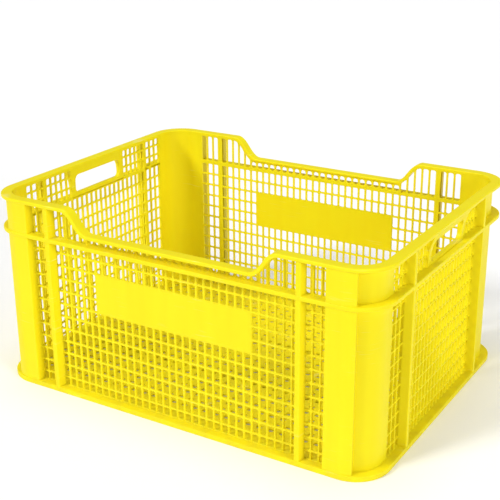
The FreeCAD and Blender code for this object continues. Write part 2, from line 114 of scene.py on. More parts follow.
floor_mesh = bpy.data.meshes.new("studio_floor")
floor_mesh.from_pydata([(-STUDIO_HALF, -STUDIO_HALF, 0), (STUDIO_HALF, -STUDIO_HALF, 0),
                        (STUDIO_HALF, STUDIO_HALF, 0), (-STUDIO_HALF, STUDIO_HALF, 0)], [], [(0, 1, 2, 3)])
studio_floor = bpy.data.objects.new("studio_floor", floor_mesh)
bpy.context.scene.collection.objects.link(studio_floor)
paper = bpy.data.materials.new("pale_paper")
paper.use_nodes = True
paper_nodes, paper_links = paper.node_tree.nodes, paper.node_tree.links
paper_shader = paper_nodes["Principled BSDF"]
paper_shader.inputs["Roughness"].default_value = 0.9
paper_shader.inputs["Emission Color"].default_value = WHITE
paper_shader.inputs["Emission Strength"].default_value = 0.1
paper_tone = paper_nodes.new("ShaderNodeTexNoise")
paper_tone.inputs["Scale"].default_value = 3
paper_mix = paper_nodes.new("ShaderNodeMix")
paper_mix.data_type = "RGBA"
paper_mix.inputs["A"].default_value = (0.93, 0.93, 0.93, 1)
paper_mix.inputs["B"].default_value = (0.96, 0.96, 0.96, 1)
paper_links.new(paper_tone.outputs["Fac"], paper_mix.inputs["Factor"])
paper_links.new(paper_mix.outputs["Result"], paper_shader.inputs["Base Color"])
floor_mesh.materials.append(paper)

# ---------------------------------------------------------------- foot
# The flange round the bottom, on which the crate stands on the floor or on the crate below.
# It is moulded in one with the walls, in yellow polyethylene, and the mould rounds its edges.
LENGTH_HALF, WIDTH_HALF, FOOT_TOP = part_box("right_foot")[1]
CORNER_RADIUS = 0.050
BEND_CENTRE = np.array([LENGTH_HALF - CORNER_RADIUS, -WIDTH_HALF + CORNER_RADIUS])
FLANGE = LENGTH_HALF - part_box("right_lower_panel")[0].x   # outline to the walls' inner face
SIDE_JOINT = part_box("front_foot")[1].x   # an end's flange meets the long side's inside a rib
FOOT_LEAN = 0.0004
FOOT_EDGES = (0.001, 0.0016, 0.0012)   # radii below inside, below outside and above outside
ARC_STEPS = 16
SIDE_STEPS = 9
WELD_GRID = 2e6   # points are made one on a grid of half a micrometre
SHARP_TURN = math.radians(32)
FLAT_FIRST = 100


def patch(grid, closed=False):
    """Points and quads of a grid of points, rows by columns, or of a stack of such grids.
    Neighbours make a quad whose face looks along row step x column step; closed joins the
    last column to the first."""
    grid = grid.reshape(-1, *grid.shape[-3:])
    count, rows, columns = grid.shape[:3]
    index = np.arange(count * rows * columns).reshape(count, rows, columns)
    if closed:
        index = np.concatenate([index, index[:, :, :1]], axis=2)
    quads = np.stack([index[:, :-1, :-1], index[:, 1:, :-1], index[:, 1:, 1:], index[:, :-1, 1:]], axis=-1)
    return grid.reshape(-1, 3), quads.reshape(-1, 4)


def lid(loop):
    """The flat end of a closed sweep: one face over a loop of points."""
    return loop, np.arange(len(loop))[None]


def moulded(name, patches, material, nodes):
    """Makes one piece from patches: points that coincide are made one, edges that turn more
    than SHARP_TURN stay crisp, and large faces lead the shading so that flats stay flat."""
    starts = np.cumsum([0] + [len(points) for points, _ in patches])
    points = np.concatenate([points for points, _ in patches])
    _, first, index = np.unique(np.round(points * WELD_GRID).astype(np.int64), axis=0,
                                return_index=True, return_inverse=True)
    index = index.ravel()
    groups = [index[quads + start] for (_, quads), start in zip(patches, starts)]
    faces = [list(dict.fromkeys(face)) for group in groups for face in group.tolist()]
    mesh = bpy.data.meshes.new(name)
    mesh.from_pydata(points[first].tolist(), [], [face for face in faces if len(face) > 2])
    mesh.validate()
    mesh.shade_smooth()
    mesh.set_sharp_from_angle(angle=SHARP_TURN)
    mesh.materials.append(material)
    piece = bpy.data.objects.new(name, mesh)
    bpy.context.scene.collection.objects.link(piece)
    weighted = piece.modifiers.new("flat_faces", "WEIGHTED_NORMAL")
    weighted.keep_sharp = True
    weighted.weight = FLAT_FIRST
    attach(piece, "root")
    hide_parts(*nodes)


def half_turn(patches):
    """The same patches turned half round the crate's upright axis."""
    return [(points * (-1, -1, 1), quads) for points, quads in patches]


def mirrored_x(patches):
    """The same patches on the other end; each quad is read backwards so it still faces out."""
    return [(points * (-1, 1, 1), quads[:, ::-1]) for points, quads in patches]


def rounded_loop(corners, radii, steps=4):
    """A closed loop through corners, anticlockwise, each cut by an arc of its radius that is
    tangent to both edges; a radius of nothing leaves the corner as it is."""
    corners = np.array(corners, float)
    loop = []
    for k, radius in enumerate(radii):
        corner = corners[k]
        back = corners[k - 1] - corner
        ahead = corners[(k + 1) % len(corners)] - corner
        back /= np.linalg.norm(back)
        ahead /= np.linalg.norm(ahead)
        if radius == 0:
            loop.append(corner[None])
            continue
        turn = math.acos(np.clip(back @ ahead, -1, 1))
        reach = radius / math.tan(turn / 2)
        middle = corner + (back + ahead) / np.linalg.norm(back + ahead) * radius / math.sin(turn / 2)
        start = corner + back * reach - middle
        end = corner + ahead * reach - middle
        share = np.linspace(0, 1, steps + 1)[:, None]
        sweep_angle = math.acos(np.clip(start @ end / radius ** 2, -1, 1))
        loop.append(middle + (np.sin((1 - share) * sweep_angle) * start
                              + np.sin(share * sweep_angle) * end) / math.sin(sweep_angle))
    return np.concatenate(loop)


def straight_side(along):
    """Stations on the front side: the outline point and the outward direction at each place
    along the side, from left to right."""
    edge = np.stack([along, np.full_like(along, -WIDTH_HALF)], axis=1)
    return edge, np.tile((0.0, -1.0), (len(along), 1))


def corner_arc():
    """Stations round the front right corner: a quarter circle of outline points and their
    outward directions."""
    angles = np.radians(np.linspace(-90, 0, ARC_STEPS + 1))
    out = np.stack([np.cos(angles), np.sin(angles)], axis=1)
    return BEND_CENTRE + CORNER_RADIUS * out, out


def end_bend():
    """Stations from the front side round the right end to the back side: straight, a quarter
    circle, the end, a quarter circle, straight."""
    front, out = corner_arc()
    back = front[::-1] * (1, -1)
    edge = np.concatenate([[(SIDE_JOINT, -WIDTH_HALF)], front, back, [(SIDE_JOINT, WIDTH_HALF)]])
    way = np.concatenate([[(0, -1)], out, out[::-1] * (1, -1), [(0, 1)]])
    return edge, way


def swept(grid):
    """A closed profile carried along: the skin between its places and a flat end at each."""
    return [patch(grid, closed=True), lid(grid[0][::-1]), lid(grid[-1])]


def flange_sweep(stations, profile):
    """A closed profile (distance out from the outline, height) carried along the stations."""
    edge, way = stations
    flat = edge[:, None] + way[:, None] * profile[None, :, :1]
    high = np.broadcast_to(profile[:, 1], flat.shape[:2])
    return swept(np.concatenate([flat, high[..., None]], axis=-1))


FLOAT, COLOUR = "NodeSocketFloat", "NodeSocketColor"
GRAIN_SIZE = 900
GRAIN_DEPTH = 0.00012
PEBBLE_HEIGHT = 0.12   # of the waves' height
SHEEN_CHANGE = 0.06
YELLOW = (0.94, 0.82, 0.012, 1)
DEEP_YELLOW = (0.92, 0.775, 0.010, 1)
SCUFFED_YELLOW = (0.95, 0.88, 0.3, 1)
# a darker brownish yellow, mixed in most near the floor, which darkens the low parts
LOW_DARK_YELLOW = (0.52, 0.41, 0.04, 1)


def node_group(name, inputs, outputs):
    """An empty shader node group: inputs as name, kind and value, outputs as name and kind.
    Gives the group, its entry node and its exit node."""
    group = bpy.data.node_groups.new(name, "ShaderNodeTree")
    for label, kind, value in inputs:
        group.interface.new_socket(label, in_out="INPUT", socket_type=kind).default_value = value
    for label, kind in outputs:
        group.interface.new_socket(label, in_out="OUTPUT", socket_type=kind)
    return group, group.nodes.new("NodeGroupInput"), group.nodes.new("NodeGroupOutput")


def noise(tree, at, scale, detail=2, roughness=0.5):
    """Smooth noise over coordinates, as many grains to a metre as its scale."""
    node = tree.nodes.new("ShaderNodeTexNoise")
    node.inputs["Scale"].default_value = scale
    node.inputs["Detail"].default_value = detail
    node.inputs["Roughness"].default_value = roughness
    tree.links.new(at, node.inputs["Vector"])
    return node.outputs["Fac"]


def stretched(tree, at, scale, turn=(0, 0, 0)):
    """Coordinates scaled along each axis, then turned, which draws a pattern out."""
    node = tree.nodes.new("ShaderNodeMapping")
    node.inputs["Rotation"].default_value = turn
    node.inputs["Scale"].default_value = scale
    tree.links.new(at, node.inputs["Vector"])
    return node.outputs["Vector"]


def ranged(tree, value, low, high, to_low=0.0, to_high=1.0):
    """A value carried in proportion from one range to another and held at its ends."""
    node = tree.nodes.new("ShaderNodeMapRange")
    for label, number in (("From Min", low), ("From Max", high), ("To Min", to_low), ("To Max", to_high)):
        node.inputs[label].default_value = number
    tree.links.new(value, node.inputs["Value"])
    return node.outputs["Result"]


def combined(tree, operation, first, second):
    """Two values added or multiplied; the second is a socket or a plain number."""
    node = tree.nodes.new("ShaderNodeMath")
    node.operation = operation
    tree.links.new(first, node.inputs[0])
    if isinstance(second, float):
        node.inputs[1].default_value = second
    else:
        tree.links.new(second, node.inputs[1])
    return node.outputs[0]


def grain_group():
    """Moulded grain: a fine pebble texture and the slow waves of a large thin wall. Puts out
    a height for bump and a small change of roughness."""
    group, given, out = node_group("moulded grain", [("Grain Size", FLOAT, GRAIN_SIZE)],
                                   [("Height", FLOAT), ("Roughness", FLOAT)])
    place = group.nodes.new("ShaderNodeTexCoord").outputs["Object"]
    pebbles = noise(group, place, scale=GRAIN_SIZE, roughness=0.6)
    group.links.new(given.outputs["Grain Size"], pebbles.node.inputs["Scale"])
    waves = noise(group, place, scale=22, detail=1)
    height = combined(group, "ADD", waves, combined(group, "MULTIPLY", pebbles, PEBBLE_HEIGHT))
    sheen = ranged(group, waves, low=0, high=1, to_low=-SHEEN_CHANGE, to_high=SHEEN_CHANGE)
    group.links.new(height, out.inputs["Height"])
    group.links.new(sheen, out.inputs["Roughness"])
    return group


def tone_group():
    """Colour of pigmented polyethylene: two nearby yellows in slow clouds and faint flow
    streaks down the wall, with pale scuffs and a darker yellow near the floor mixed in by the masks."""
    group, given, out = node_group("pigment tone", [("Base", COLOUR, YELLOW), ("Deep", COLOUR, DEEP_YELLOW),
                                                    ("Scuff Colour", COLOUR, SCUFFED_YELLOW),
                                                    ("Low Darkening Colour", COLOUR, LOW_DARK_YELLOW),
                                                    ("Scuff", FLOAT, 0), ("Low Darkening", FLOAT, 0)],
                                   [("Color", COLOUR)])
    place = group.nodes.new("ShaderNodeTexCoord").outputs["Object"]
    clouds = noise(group, place, scale=9, detail=3)
    streaks = noise(group, stretched(group, place, scale=(60, 60, 5)), scale=1)
    share = ranged(group, combined(group, "MULTIPLY", clouds, streaks), low=0.12, high=0.42)
    colour = given.outputs["Deep"]
    for amount, added in ((share, "Base"), (given.outputs["Scuff"], "Scuff Colour"),
                          (given.outputs["Low Darkening"], "Low Darkening Colour")):
        mix = group.nodes.new("ShaderNodeMix")
        mix.data_type = "RGBA"
        group.links.new(amount, mix.inputs["Factor"])
        group.links.new(colour, mix.inputs["A"])
        group.links.new(given.outputs[added], mix.inputs["B"])
        colour = mix.outputs["Result"]
    group.links.new(colour, out.inputs["Color"])
    return group


def wear_group():
    """Handling wear: short scratches, from noise drawn out along the wall, thinned to lines
    and kept to worn patches. Puts out a mask."""
    group, given, out = node_group("handling scuffs", [("Amount", FLOAT, 0.3)], [("Mask", FLOAT)])
    place = group.nodes.new("ShaderNodeTexCoord").outputs["Object"]
    drawn_out = stretched(group, place, scale=(30, 30, 420), turn=(0.1, 0.5, 0.2))
    lines = ranged(group, noise(group, drawn_out, scale=1), low=0.62, high=0.72)
    worn = ranged(group, noise(group, place, scale=14), low=0.48, high=0.66)
    mask = combined(group, "MULTIPLY", combined(group, "MULTIPLY", lines, worn), given.outputs["Amount"])
    group.links.new(mask, out.inputs["Mask"])
    return group


def low_darkening_group():
    """Darker yellow low down: a mask that is strongest at floor level and fades over the lowest 7 cm, in
    noise patches. Puts out a mask.
    """
    group, given, out = node_group("darker low down", [("Amount", FLOAT, 0.1)], [("Mask", FLOAT)])
    place = group.nodes.new("ShaderNodeTexCoord").outputs["Object"]
    split = group.nodes.new("ShaderNodeSeparateXYZ")
    group.links.new(place, split.inputs[0])
    # darker towards the floor: full at floor level, fading over the lowest 7 cm
    low_down = ranged(group, split.outputs["Z"], low=0.0, high=0.07, to_low=1.0, to_high=0.15)
    blotches = ranged(group, noise(group, place, scale=45, detail=4), low=0.4, high=0.75)
    mask = combined(group, "MULTIPLY", combined(group, "MULTIPLY", low_down, blotches),
                    given.outputs["Amount"])
    group.links.new(mask, out.inputs["Mask"])
    return group


GRAIN, TONE, WEAR, LOW_DARKENING = grain_group(), tone_group(), wear_group(), low_darkening_group()


def yellow_plastic(name, roughness, scuffs, low_darkening):
    """Yellow polyethylene: pigment tone with scuffs and a darker yellow near the floor, grain as bump, a soft
    sheen.
    """
    material = bpy.data.materials.new(name)
    material.use_nodes = True
    tree = material.node_tree
    shader = tree.nodes["Principled BSDF"]
    grain, tone, wear, low_darkening_node = (tree.nodes.new("ShaderNodeGroup") for _ in range(4))
    grain.node_tree, tone.node_tree, wear.node_tree, low_darkening_node.node_tree = GRAIN, TONE, WEAR, LOW_DARKENING
    grain.inputs["Grain Size"].default_value = GRAIN_SIZE
    wear.inputs["Amount"].default_value = scuffs
    # how much of the darker yellow is mixed in towards the floor
    low_darkening_node.inputs["Amount"].default_value = low_darkening
    tree.links.new(wear.outputs["Mask"], tone.inputs["Scuff"])
    tree.links.new(low_darkening_node.outputs["Mask"], tone.inputs["Low Darkening"])
    tree.links.new(tone.outputs["Color"], shader.inputs["Base Color"])
    tree.links.new(combined(tree, "ADD", grain.outputs["Roughness"], roughness), shader.inputs["Roughness"])
    bump = tree.nodes.new("ShaderNodeBump")
    bump.inputs["Strength"].default_value = 1.0
    bump.inputs["Distance"].default_value = GRAIN_DEPTH
    tree.links.new(grain.outputs["Height"], bump.inputs["Height"])
    tree.links.new(bump.outputs["Normal"], shader.inputs["Normal"])
    shader.inputs["Specular IOR Level"].default_value = 0.12
    shader.inputs["Subsurface Weight"].default_value = 0.12
    shader.inputs["Subsurface Radius"].default_value = (0.006, 0.004, 0.0008)
    shader.inputs["Subsurface Scale"].default_value = 1.0
    return material


foot_plastic = yellow_plastic("foot_plastic", roughness=0.48, scuffs=0.5, low_darkening=0.35)
foot_profile = rounded_loop([(-FLANGE, 0), (-FOOT_LEAN, 0), (0, FOOT_TOP), (-FLANGE, FOOT_TOP)],
                            [*FOOT_EDGES, 0])
side_stations = straight_side(np.linspace(-SIDE_JOINT, SIDE_JOINT, SIDE_STEPS))
foot_long = flange_sweep(side_stations, foot_profile)
foot_end = flange_sweep(end_bend(), foot_profile)
moulded("foot_of_front_side", foot_long, foot_plastic, ["front_foot"])
moulded("foot_of_back_side", half_turn(foot_long), foot_plastic, ["back_foot"])
moulded("foot_of_right_end", foot_end, foot_plastic, ["right_foot"])
moulded("foot_of_left_end", half_turn(foot_end), foot_plastic, ["left_foot"])

# ---------------------------------------------------------------- floor
# The perforated bottom, a flat polyethylene lattice moulded inside the foot, with stiffening
# ribs below it. Its square holes taper so that the mould opens.
FLOOR_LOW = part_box("floor")[0].z
FLOOR_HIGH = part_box("floor")[1].z
FLOOR_MARGIN = 0.014
FLOOR_FIELD = (LENGTH_HALF - FLANGE - FLOOR_MARGIN, WIDTH_HALF - FLANGE - FLOOR_MARGIN)
FLOOR_CELLS = (32, 24)
FLOOR_BAR = 0.009
FLOOR_HOLE_RADIUS = 0.0025
FLOOR_HOLE_EDGE = 0.0005
FLOOR_DRAFT = 0.0002
CELLS_BETWEEN_RIBS = 8
INNER_RADIUS = CORNER_RADIUS - FLANGE
BORDER_STEPS = 9


def hole_rings(cell, hole, radius, front, back, edge, draft):
    """Six rings of twelve points for each hole of a sheet, clockwise as seen from the front:
    the cell's edge in front, the hole widened by its rounded edge, the hole just behind that,
    the hole near the back (narrower by the draft), widened again, the cell's edge behind.
    cell and hole are (left, right, low, high) arrays; a ring is three points a corner."""
    left, right, low, high = (np.asarray(v, float) for v in cell)
    hole_left, hole_right, hole_low, hole_high = (np.asarray(v, float) for v in hole)
    rings = []
    for grow, deep in ((None, front), (edge, front), (0, front - edge), (-draft, back + edge),
                       (edge - draft, back), (None, back)):
        spread = 0 if grow is None else grow
        a, b = hole_left - spread, hole_right + spread
        c, d = hole_low - spread, hole_high + spread
        r = radius + spread
        cut = r * (1 - math.sqrt(0.5))
        if grow is None:
            across = [left, left, a + r, b - r, right, right, right, right, b - r, a + r, left, left]
            up = [d - r, high, high, high, high, d - r, c + r, low, low, low, low, c + r]
        else:
            across = [a, a + cut, a + r, b - r, b - cut, b, b, b - cut, b - r, a + r, a + cut, a]
            up = [d - r, d - cut, d, d, d - cut, d - r, c + r, c + cut, c, c, c + cut, c + r]
        across, up = (np.stack(np.broadcast_arrays(*v), axis=-1) for v in (across, up))
        rings.append(np.stack([across, up, np.full_like(across, deep)], axis=-1))
    return np.stack(rings, axis=-3)


# the four points of a ring that lie on each side of its cell
RING_SIDES = {"high": [1, 2, 3, 4], "right": [4, 5, 6, 7], "low": [7, 8, 9, 10], "left": [10, 11, 0, 1]}


def sheet_of(rings, sides):
    """Patches of a perforated sheet: all the rings of its cells, and the cut edge of the
    cells named for each side of the sheet."""
    made = [patch(rings, closed=True)]
    for side, chosen in sides.items():
        if np.any(chosen):
            made.append(patch(rings[chosen][:, [5, 0]][:, :, RING_SIDES[side]]))
    return made


def laid(patches, place):
    """Wall coordinates (along, up, out) put into the crate's frame by a function."""
    return [(place(points), quads) for points, quads in patches]


floor_plastic = yellow_plastic("floor_plastic", roughness=0.5, scuffs=0.55, low_darkening=0.3)
pitch_x = (2 * FLOOR_FIELD[0] + FLOOR_BAR) / FLOOR_CELLS[0]
pitch_y = (2 * FLOOR_FIELD[1] + FLOOR_BAR) / FLOOR_CELLS[1]
lattice_half = np.array(FLOOR_CELLS) * (pitch_x, pitch_y) / 2
column, row = (v.ravel() for v in np.meshgrid(np.arange(FLOOR_CELLS[0]), np.arange(FLOOR_CELLS[1])))
cell_left = -lattice_half[0] + column * pitch_x
cell_low = -lattice_half[1] + row * pitch_y
floor_rings = hole_rings(
    (cell_left, cell_left + pitch_x, cell_low, cell_low + pitch_y),
    (cell_left + FLOOR_BAR / 2, cell_left + pitch_x - FLOOR_BAR / 2,
     cell_low + FLOOR_BAR / 2, cell_low + pitch_y - FLOOR_BAR / 2),
    FLOOR_HOLE_RADIUS, FLOOR_HIGH, FLOOR_LOW, FLOOR_HOLE_EDGE, FLOOR_DRAFT)
floor_sheet = sheet_of(floor_rings, {})


def floor_border():
    """The blank margin between the lattice and the walls: a loop on the walls' inner face and
    one on the lattice's edge, matched by their angle, top and underside."""
    half = np.array([LENGTH_HALF, WIDTH_HALF]) - FLANGE
    centre = half - INNER_RADIUS
    arc = np.radians(np.linspace(0, 90, BORDER_STEPS))
    quarter = centre + INNER_RADIUS * np.stack([np.cos(arc), np.sin(arc)], axis=1)
    inner = np.tile(lattice_half, (BORDER_STEPS, 1))
    outer, field = [], []
    for turn, flip in (((1, 1), 1), ((-1, 1), -1), ((-1, -1), 1), ((1, -1), -1)):
        outer.append(quarter[::flip] * turn)
        field.append(inner[::flip] * turn)
    ring = np.stack([np.concatenate(outer), np.concatenate(field)])
    top = np.concatenate([ring, np.full((*ring.shape[:2], 1), FLOOR_HIGH)], axis=-1)
    under = np.concatenate([ring, np.full((*ring.shape[:2], 1), FLOOR_LOW)], axis=-1)
    return [patch(top[::-1], closed=True), patch(under, closed=True)]


moulded("perforated_floor", floor_sheet + floor_border(), floor_plastic, ["floor"])

FLOOR_RIB_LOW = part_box("floor_ribs")[0].z
FLOOR_RIB_HALF = 0.002
FLOOR_RIB_EDGE = 0.0008
rib_height = FLOOR_LOW - FLOOR_RIB_LOW
rib_profile = rounded_loop([(-FLOOR_RIB_HALF, 0), (FLOOR_RIB_HALF, 0), (FLOOR_RIB_HALF, rib_height),
                            (-FLOOR_RIB_HALF, rib_height)],
                           [FLOOR_RIB_EDGE, FLOOR_RIB_EDGE, 0, 0], steps=2)


def floor_rib(middle, half, along_x):
    """The rib's upright profile (across, up) drawn straight from wall to wall."""
    run = np.array([-half, half])
    across = rib_profile[None, :, 0] + middle + 0 * run[:, None]
    along = run[:, None] + 0 * rib_profile[None, :, 0]
    up = rib_profile[None, :, 1] + FLOOR_RIB_LOW + 0 * run[:, None]
    if along_x:
        return swept(np.stack([along, across, up], axis=-1)[::-1])
    return swept(np.stack([across, along, up], axis=-1))


inner_x, inner_y = LENGTH_HALF - FLANGE, WIDTH_HALF - FLANGE
rib_gap_x, rib_gap_y = CELLS_BETWEEN_RIBS * pitch_x, CELLS_BETWEEN_RIBS * pitch_y
under_ribs = []
for step in (-1, 0, 1):
    under_ribs += floor_rib(step * rib_gap_x, inner_y, along_x=False)
for step in (-0.5, 0.5):
    under_ribs += floor_rib(step * rib_gap_y, inner_x, along_x=True)
moulded("ribs_under_floor", under_ribs, floor_plastic, ["floor_ribs"])

# ---------------------------------------------------------------- wall mesh
# The four perforated walls: upright oblong holes with rounded corners in a thin polyethylene
# skin, three narrow columns of them beside each corner. Above the band are tall slots on the
# long sides and three rows of holes on the ends, all cored out by the mould.
SKIN_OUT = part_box("right_lower_panel")[1].x - LENGTH_HALF   # measured out from the outline
SKIN_IN = -FLANGE
BAR = 0.0024
ROW_BAR = 0.0022
HOLE_RADIUS = 0.0018
SLOT_RADIUS = 0.0026
SHORT_HOLE_RADIUS = 0.0036
HOLE_EDGE = 0.0005
HOLE_DRAFT = 0.0001
RIM_LOW, RIM_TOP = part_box("right_rim")[0].z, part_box("right_rim")[1].z
RIM_THICK = RIM_TOP - RIM_LOW
BAND_LOW, BAND_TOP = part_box("right_band")[0].z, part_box("right_band")[1].z
BAND_MIDDLE = (BAND_LOW + BAND_TOP) / 2
THIN_BAR = 0.0004      # what is left of the skin beside the band and the rim
SLOT_FOOT = 0.0005
LOWEST_FOOT = 0.0006
ROWS = 12
LOWEST_TOP = 0.0196
HIGHEST_TOP = BAND_LOW + 0.001
ROW_PITCH = (HIGHEST_TOP - LOWEST_TOP) / (ROWS - 1)
DIP_LOW_FLAT = 0.132
DIP_HIGH_FLAT = 0.156
DIP_DEPTH = RIM_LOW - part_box("front_rim")[0].z
DIP_ROUND = 0.009
DIP_LAP = 0.002
UNDER_SHIFT = 0.0025
LONG_COLUMNS, END_COLUMNS, SIDE_COLUMNS = 33, 21, 3
LONG_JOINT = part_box("front_right_side_panel")[1].x
LONG_MESH_END = LONG_JOINT - BAR
END_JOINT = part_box("right_back_side_panel")[1].y
END_MESH_END = END_JOINT - BAR


def rim_height(along, under=False):
    """Height of the long side's rim: low in the middle, a straight climb, high at the
    shoulders, with a parabola easing each change of slope. under gives its lower face."""
    shift = UNDER_SHIFT if under else 0

    def eased(t):
        bend = (t + DIP_ROUND) ** 2 / (4 * DIP_ROUND)
        return np.where(t < -DIP_ROUND, 0, np.where(t > DIP_ROUND, t, bend))

    far = np.abs(along) - shift
    climb = (eased(far - DIP_LOW_FLAT) - eased(far - DIP_HIGH_FLAT)) / (DIP_HIGH_FLAT - DIP_LOW_FLAT)
    return RIM_LOW + (0 if under else RIM_THICK) - DIP_DEPTH * (1 - climb)


def front_wall(points):
    """Wall coordinates to the front side: along is X, out is towards the viewer of it."""
    return np.stack([points[:, 0], -WIDTH_HALF - points[:, 2], points[:, 1]], axis=1)


def right_wall(points):
    """Wall coordinates to the right end: along is Y."""
    return np.stack([LENGTH_HALF + points[:, 2], points[:, 0], points[:, 1]], axis=1)


def row_of_holes(first, last, count, outer_first, outer_last):
    """count holes between two faces with a bar between neighbours: their left and right
    edges, and their cells, which share the bars' middles and end at the outer pair."""
    pitch = (last - first + BAR) / count
    left = first + np.arange(count) * pitch
    right = left + pitch - BAR
    cell_left, cell_right = left - BAR / 2, right + BAR / 2
    cell_left[0], cell_right[-1] = outer_first, outer_last
    return left, right, cell_left, cell_right


def mesh_field(columns, rows, skip=None, radius=HOLE_RADIUS, warp=None):
    """Perforated sheet over columns and rows, each as row_of_holes gives them. skip marks
    cells left out for a plate; warp lifts the points to a sloping upper edge."""
    c, r = (v.ravel() for v in np.meshgrid(np.arange(len(columns[0])), np.arange(len(rows[0]))))
    keep = np.ones(len(c), bool) if skip is None else ~skip(c, r)
    c, r = c[keep], r[keep]
    rings = hole_rings((columns[2][c], columns[3][c], rows[2][r], rows[3][r]),
                       (columns[0][c], columns[1][c], rows[0][r], rows[1][r]),
                       radius, SKIN_OUT, SKIN_IN, HOLE_EDGE, HOLE_DRAFT)
    if warp:
        rings[..., 1] = warp(rings[..., 0], rings[..., 1])
    inner = np.zeros((len(rows[0]) + 2, len(columns[0]) + 2), bool)
    inner[r + 1, c + 1] = True
    return sheet_of(rings, {"left": ~inner[r + 1, c], "right": ~inner[r + 1, c + 2],
                            "low": ~inner[r, c + 1], "high": ~inner[r + 2, c + 1]})


def four_ways(patches):
    """The same patches at all four corners: as made, half turned, mirrored, and both."""
    mirrored = mirrored_x(patches)
    return patches, half_turn(patches), mirrored, half_turn(mirrored)


mesh_plastic = yellow_plastic("mesh_plastic", roughness=0.45, scuffs=0.25, low_darkening=0.12)
LONG_CORNERS = ("front_right", "back_left", "front_left", "back_right")
END_CORNERS = ("right_back", "left_front", "left_back", "right_front")
RIB_NEAR, RIB_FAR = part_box("front_right_rib")[0].x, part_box("front_right_rib")[1].x
END_RIB_NEAR, END_RIB_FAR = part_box("right_back_rib")[0].y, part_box("right_back_rib")[1].y
END_RIB_MIDDLE = (END_RIB_NEAR + END_RIB_FAR) / 2

tops = LOWEST_TOP + ROW_PITCH * np.arange(ROWS)
lows = tops - ROW_PITCH + ROW_BAR
cell_lows = lows - ROW_BAR / 2
cell_tops = tops + ROW_BAR / 2
lows[0], cell_lows[0] = FOOT_TOP + LOWEST_FOOT, FOOT_TOP
cell_tops[-1] = BAND_MIDDLE
lower_rows = (lows, tops, cell_lows, cell_tops)

PLATE_COLUMNS = (6, 27)
PLATE_ROWS = (7, 10)


def under_plate(column, row):
    """Which cells the label plate takes."""
    return ((column >= PLATE_COLUMNS[0]) & (column < PLATE_COLUMNS[1])
            & (row >= PLATE_ROWS[0]) & (row < PLATE_ROWS[1]))


long_columns = row_of_holes(-RIB_NEAR, RIB_NEAR, LONG_COLUMNS, -SIDE_JOINT, SIDE_JOINT)
front_lower = laid(mesh_field(long_columns, lower_rows, under_plate), front_wall)
moulded("front_wall_mesh", front_lower, mesh_plastic, ["front_lower_panel"])
moulded("back_wall_mesh", half_turn(front_lower), mesh_plastic, ["back_lower_panel"])

side_columns = row_of_holes(RIB_FAR, LONG_MESH_END, SIDE_COLUMNS, SIDE_JOINT, LONG_JOINT)
front_right_side = laid(mesh_field(side_columns, lower_rows), front_wall)
slot_rows = (np.array([BAND_TOP + SLOT_FOOT]), np.array([RIM_LOW - THIN_BAR]),
             np.array([BAND_MIDDLE]), np.array([RIM_LOW]))
front_right_slots = laid(mesh_field(side_columns, slot_rows, radius=SLOT_RADIUS), front_wall)
for end, patches in zip(LONG_CORNERS, four_ways(front_right_side + front_right_slots)):
    moulded(end + "_narrow_mesh", patches, mesh_plastic, [end + "_side_panel"])


def under_rim(along, up):
    """Stretches heights above the band so that the rim's low face takes the top."""
    share = (up - BAND_MIDDLE) / (RIM_LOW - BAND_MIDDLE)
    return np.where(share <= 0, up, BAND_MIDDLE + share * (rim_height(along, under=True) - BAND_MIDDLE))


# the dip's short holes lie between the last whole holes clear of the slope
DIP_FIRST, DIP_LAST = 5, 28
dip_columns = tuple(v[DIP_FIRST:DIP_LAST].copy() for v in long_columns)
dip_low = RIM_LOW - DIP_DEPTH
short_rows = (np.array([BAND_TOP + THIN_BAR]), np.array([dip_low - THIN_BAR]),
              np.array([BAND_MIDDLE]), np.array([dip_low + DIP_LAP]))
front_dip = laid(mesh_field(dip_columns, short_rows, radius=SHORT_HOLE_RADIUS), front_wall)
moulded("front_dip_holes", front_dip, mesh_plastic, ["front_dip_panel"])
moulded("back_dip_holes", half_turn(front_dip), mesh_plastic, ["back_dip_panel"])
shoulder_columns = tuple(v[DIP_LAST:].copy() for v in long_columns)
front_shoulder = laid(mesh_field(shoulder_columns, slot_rows, radius=SLOT_RADIUS, warp=under_rim), front_wall)
for end, patches in zip(LONG_CORNERS, four_ways(front_shoulder)):
    moulded(end + "_shoulder_slots", patches, mesh_plastic, [end + "_shoulder_panel"])

end_columns = row_of_holes(-END_RIB_NEAR, END_RIB_NEAR, END_COLUMNS, -END_RIB_MIDDLE, END_RIB_MIDDLE)
right_lower = laid(mesh_field(end_columns, lower_rows), right_wall)
moulded("right_wall_mesh", right_lower, mesh_plastic, ["right_lower_panel"])
moulded("left_wall_mesh", half_turn(right_lower), mesh_plastic, ["left_lower_panel"])

UPPER_ROWS = 3
UPPER_PITCH = 0.016
UPPER_FIRST = 16   # the first column beside the hand hole
upper_lows = BAND_TOP + UPPER_PITCH * np.arange(UPPER_ROWS)
upper_tops = upper_lows + UPPER_PITCH - ROW_BAR
upper_tops[-1] = RIM_LOW - THIN_BAR
upper_cell_lows, upper_cell_tops = upper_lows - ROW_BAR / 2, upper_tops + ROW_BAR / 2
upper_cell_lows[0], upper_cell_tops[-1] = BAND_MIDDLE, RIM_LOW
upper_lows[0] += THIN_BAR
upper_rows = (upper_lows, upper_tops, upper_cell_lows, upper_cell_tops)
upper_columns = tuple(v[UPPER_FIRST:].copy() for v in end_columns)
right_upper = laid(mesh_field(upper_columns, upper_rows), right_wall)
end_side_columns = row_of_holes(END_RIB_FAR, END_MESH_END, SIDE_COLUMNS, END_RIB_MIDDLE, END_JOINT)
right_side = laid(mesh_field(end_side_columns, lower_rows)
                  + mesh_field(end_side_columns, upper_rows), right_wall)
for end, upper, narrow in zip(END_CORNERS, four_ways(right_upper), four_ways(right_side)):
    moulded(end + "_upper_mesh", upper, mesh_plastic, [end + "_upper_panel"])
    moulded(end + "_narrow_mesh", narrow, mesh_plastic, [end + "_side_panel"])

